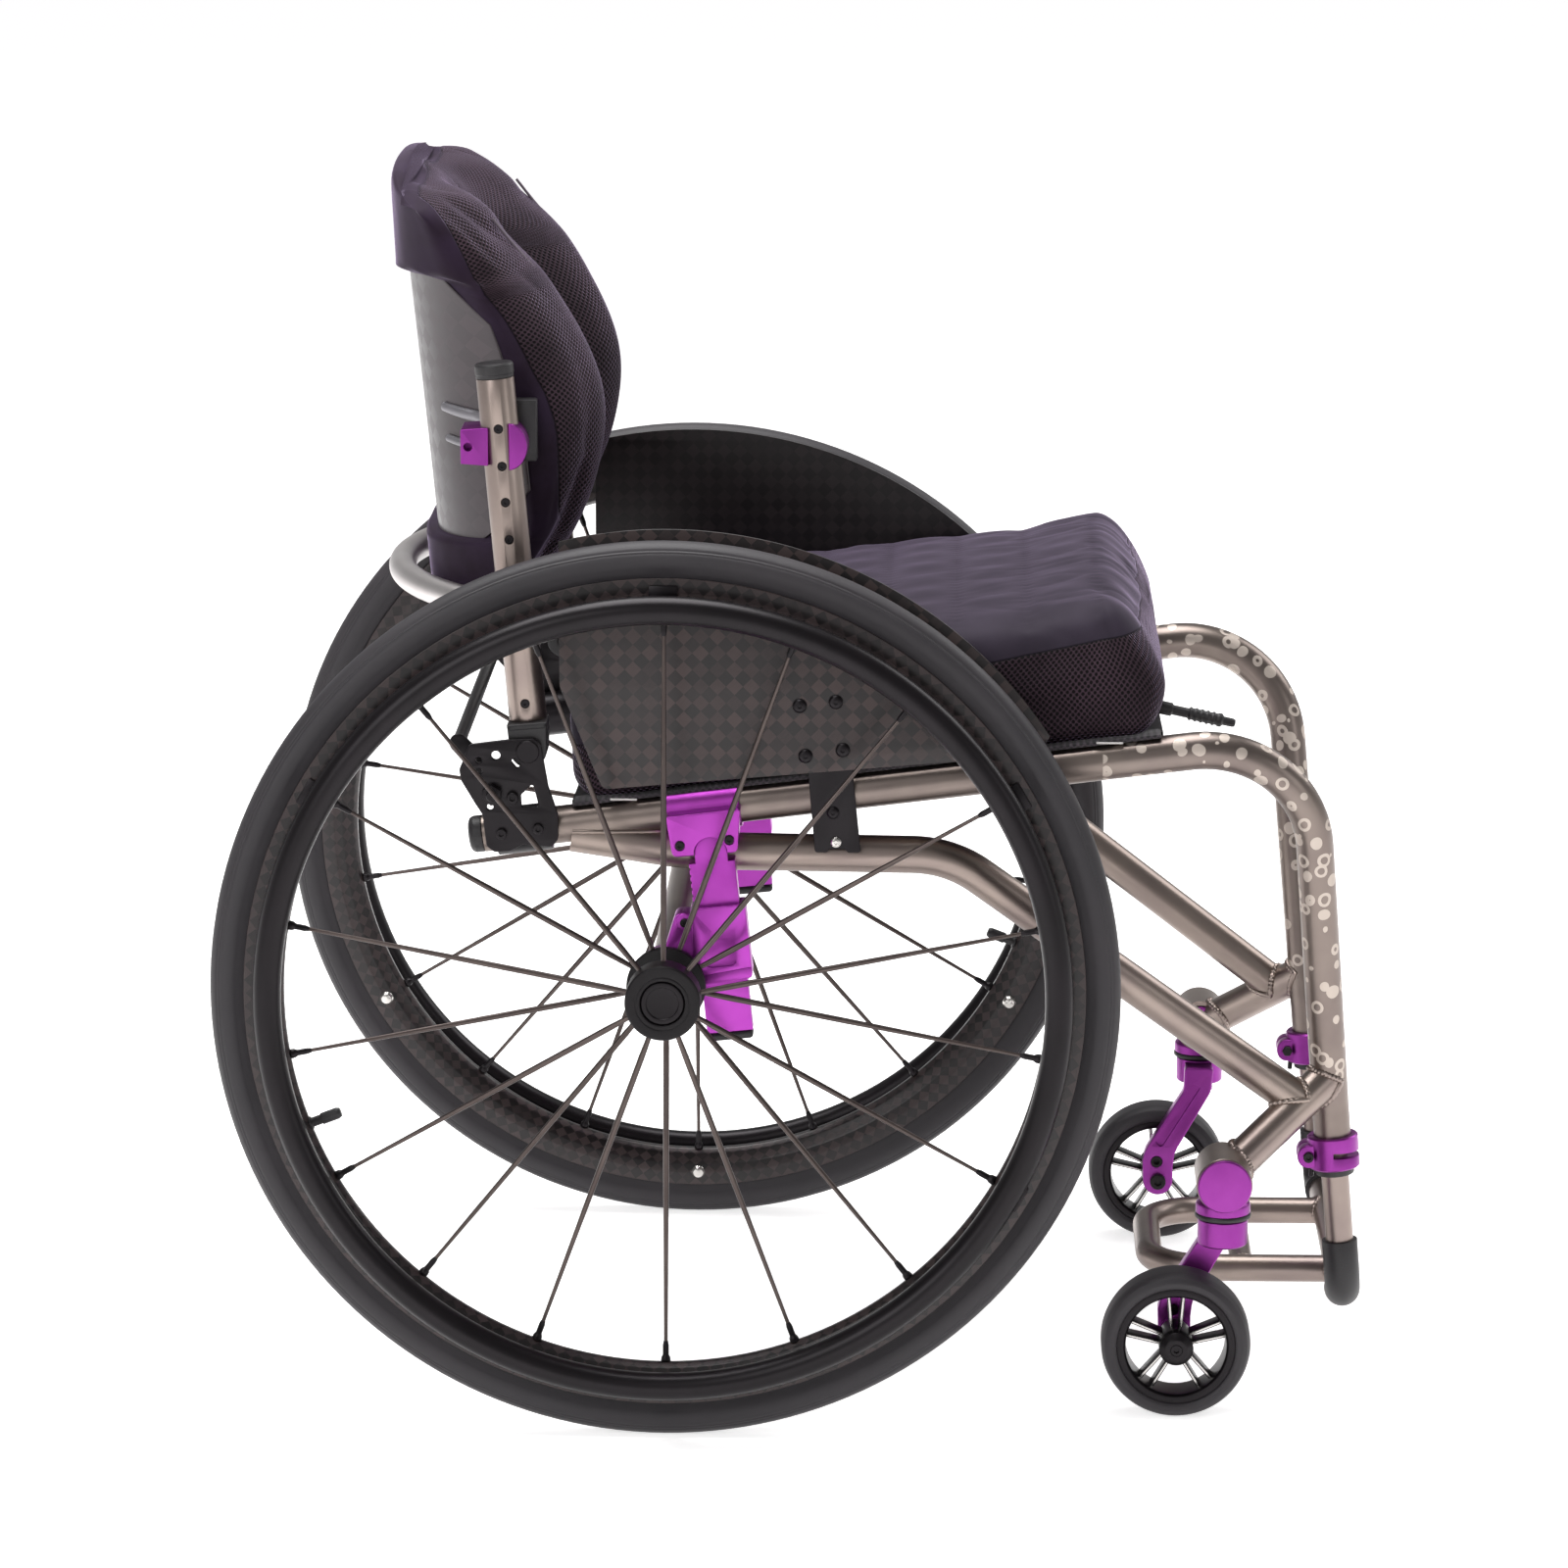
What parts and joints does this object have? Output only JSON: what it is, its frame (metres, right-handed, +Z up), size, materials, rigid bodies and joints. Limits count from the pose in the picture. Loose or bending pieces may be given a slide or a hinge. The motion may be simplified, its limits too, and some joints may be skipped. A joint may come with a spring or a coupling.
{
  "type": "rigid wheelchair",
  "caption": "Rigid active wheelchair: bent tube frame, cambered spoked wheels with handrims, single-sided casters, side guards, cushion and fold-down shell back.",
  "frame": {"origin": "on the floor, under the middle of the chair's length and width", "axes": "+X forward, +Y to the rider's left, +Z up"},
  "size_m": [0.7804, 0.623, 0.8421],
  "materials": {
    "titanium": "satin bare titanium",
    "purple": "satin anodised purple",
    "black_metal": "black anodised",
    "black_plastic": "moulded black",
    "rubber": "matt black rubber",
    "carbon": "woven carbon, satin clear coat",
    "spokes": "dark grey",
    "cushion": "stretch fabric"
  },
  "bodies": {
    "frame": {"camber_tube": "titanium", "seat_sling": "cushion", "seat_cushion": "cushion", "inflation_valve": "black_plastic", "side_tube_R": "titanium", "lower_tube_R": "titanium", "tube_plug_R": "black_plastic", "leg_clamp_R": "purple", "caster_housing_R": "purple", "axle_clamp_R": "purple", "axle_post_R": "purple", "axle_collar_R": "purple", "axle_pin_R": "spokes", "guard_bracket_R": "black_metal", "side_guard_R": "carbon", "back_bracket_R": "black_metal", "side_tube_L": "titanium", "lower_tube_L": "titanium", "tube_plug_L": "black_plastic", "leg_clamp_L": "purple", "caster_housing_L": "purple", "axle_clamp_L": "purple", "axle_post_L": "purple", "axle_collar_L": "purple", "axle_pin_L": "spokes", "guard_bracket_L": "black_metal", "side_guard_L": "carbon", "back_bracket_L": "black_metal"},
    "footrest": {"footrest_tube": "titanium", "footrest_loop": "titanium", "corner_sleeve_R": "black_plastic", "corner_sleeve_L": "black_plastic"},
    "back": {"rigidizer_bar": "titanium", "back_shell": "carbon", "back_cushion": "cushion", "pivot_block_R": "black_plastic", "back_cane_R": "titanium", "cane_cap_R": "black_plastic", "back_mount_R": "purple", "pivot_block_L": "black_plastic", "back_cane_L": "titanium", "cane_cap_L": "black_plastic", "back_mount_L": "purple"},
    "release_lever": {"release_bar": "black_metal"},
    "rear_wheel_R": {"tyre_R": "rubber", "rim_R": "carbon", "handrim_R": "black_metal", "spoked_hub_R": "spokes"},
    "quick_release_R": {"axle_button_R": "black_metal"},
    "caster_swivel_R": {"caster_fork_R": "purple"},
    "caster_roller_R": {"caster_wheel_R": "black_metal", "caster_tyre_R": "rubber"},
    "rear_wheel_L": {"tyre_L": "rubber", "rim_L": "carbon", "handrim_L": "black_metal", "spoked_hub_L": "spokes"},
    "quick_release_L": {"axle_button_L": "black_metal"},
    "caster_swivel_L": {"caster_fork_L": "purple"},
    "caster_roller_L": {"caster_wheel_L": "black_metal", "caster_tyre_L": "rubber"}
  },
  "joints": [
    {"name": "rear_wheel_spin_R", "type": "hinge", "parent": "frame", "child": "rear_wheel_R", "pos_m": [-0.08568, -0.26, 0.30441], "axis": [0, -0.9994, 0.0349], "continuous": true},
    {"name": "quick_release_push_R", "type": "slide", "parent": "frame", "child": "quick_release_R", "axis": [0, 0.9994, -0.0349], "range_m": [0, 0.004], "stiffness_N_per_m": 800},
    {"name": "caster_swivel_R", "type": "hinge", "parent": "frame", "child": "caster_swivel_R", "pos_m": [0.29082, -0.2155, 0.1424], "axis": [0, 0, 1], "continuous": true},
    {"name": "caster_spin_R", "type": "hinge", "parent": "caster_swivel_R", "child": "caster_roller_R", "pos_m": [0.25982, -0.2155, 0.0508], "axis": [0, 1, 0], "continuous": true},
    {"name": "rear_wheel_spin_L", "type": "hinge", "parent": "frame", "child": "rear_wheel_L", "pos_m": [-0.08568, 0.26, 0.30441], "axis": [0, 0.9994, 0.0349], "continuous": true},
    {"name": "quick_release_push_L", "type": "slide", "parent": "frame", "child": "quick_release_L", "axis": [0, -0.9994, -0.0349], "range_m": [0, 0.004], "stiffness_N_per_m": 800},
    {"name": "caster_swivel_L", "type": "hinge", "parent": "frame", "child": "caster_swivel_L", "pos_m": [0.29082, 0.2155, 0.1424], "axis": [0, 0, 1], "continuous": true},
    {"name": "caster_spin_L", "type": "hinge", "parent": "caster_swivel_L", "child": "caster_roller_L", "pos_m": [0.25982, 0.2155, 0.0508], "axis": [0, 1, 0], "continuous": true},
    {"name": "back_fold", "type": "hinge", "parent": "frame", "child": "back", "pos_m": [-0.17938, 0, 0.4579], "axis": [0, 1, 0], "range_deg": [0, 42]},
    {"name": "release_lift", "type": "hinge", "parent": "frame", "child": "release_lever", "pos_m": [-0.20368, 0, 0.4287], "axis": [0, 1, 0], "range_deg": [0, 20], "stiffness_Nm_per_rad": 1.5, "springref_deg": -17.19},
    {"name": "footrest_height", "type": "slide", "parent": "frame", "child": "footrest", "axis": [0.0837, 0, -0.9965], "range_m": [0, 0.012]}
  ]
}
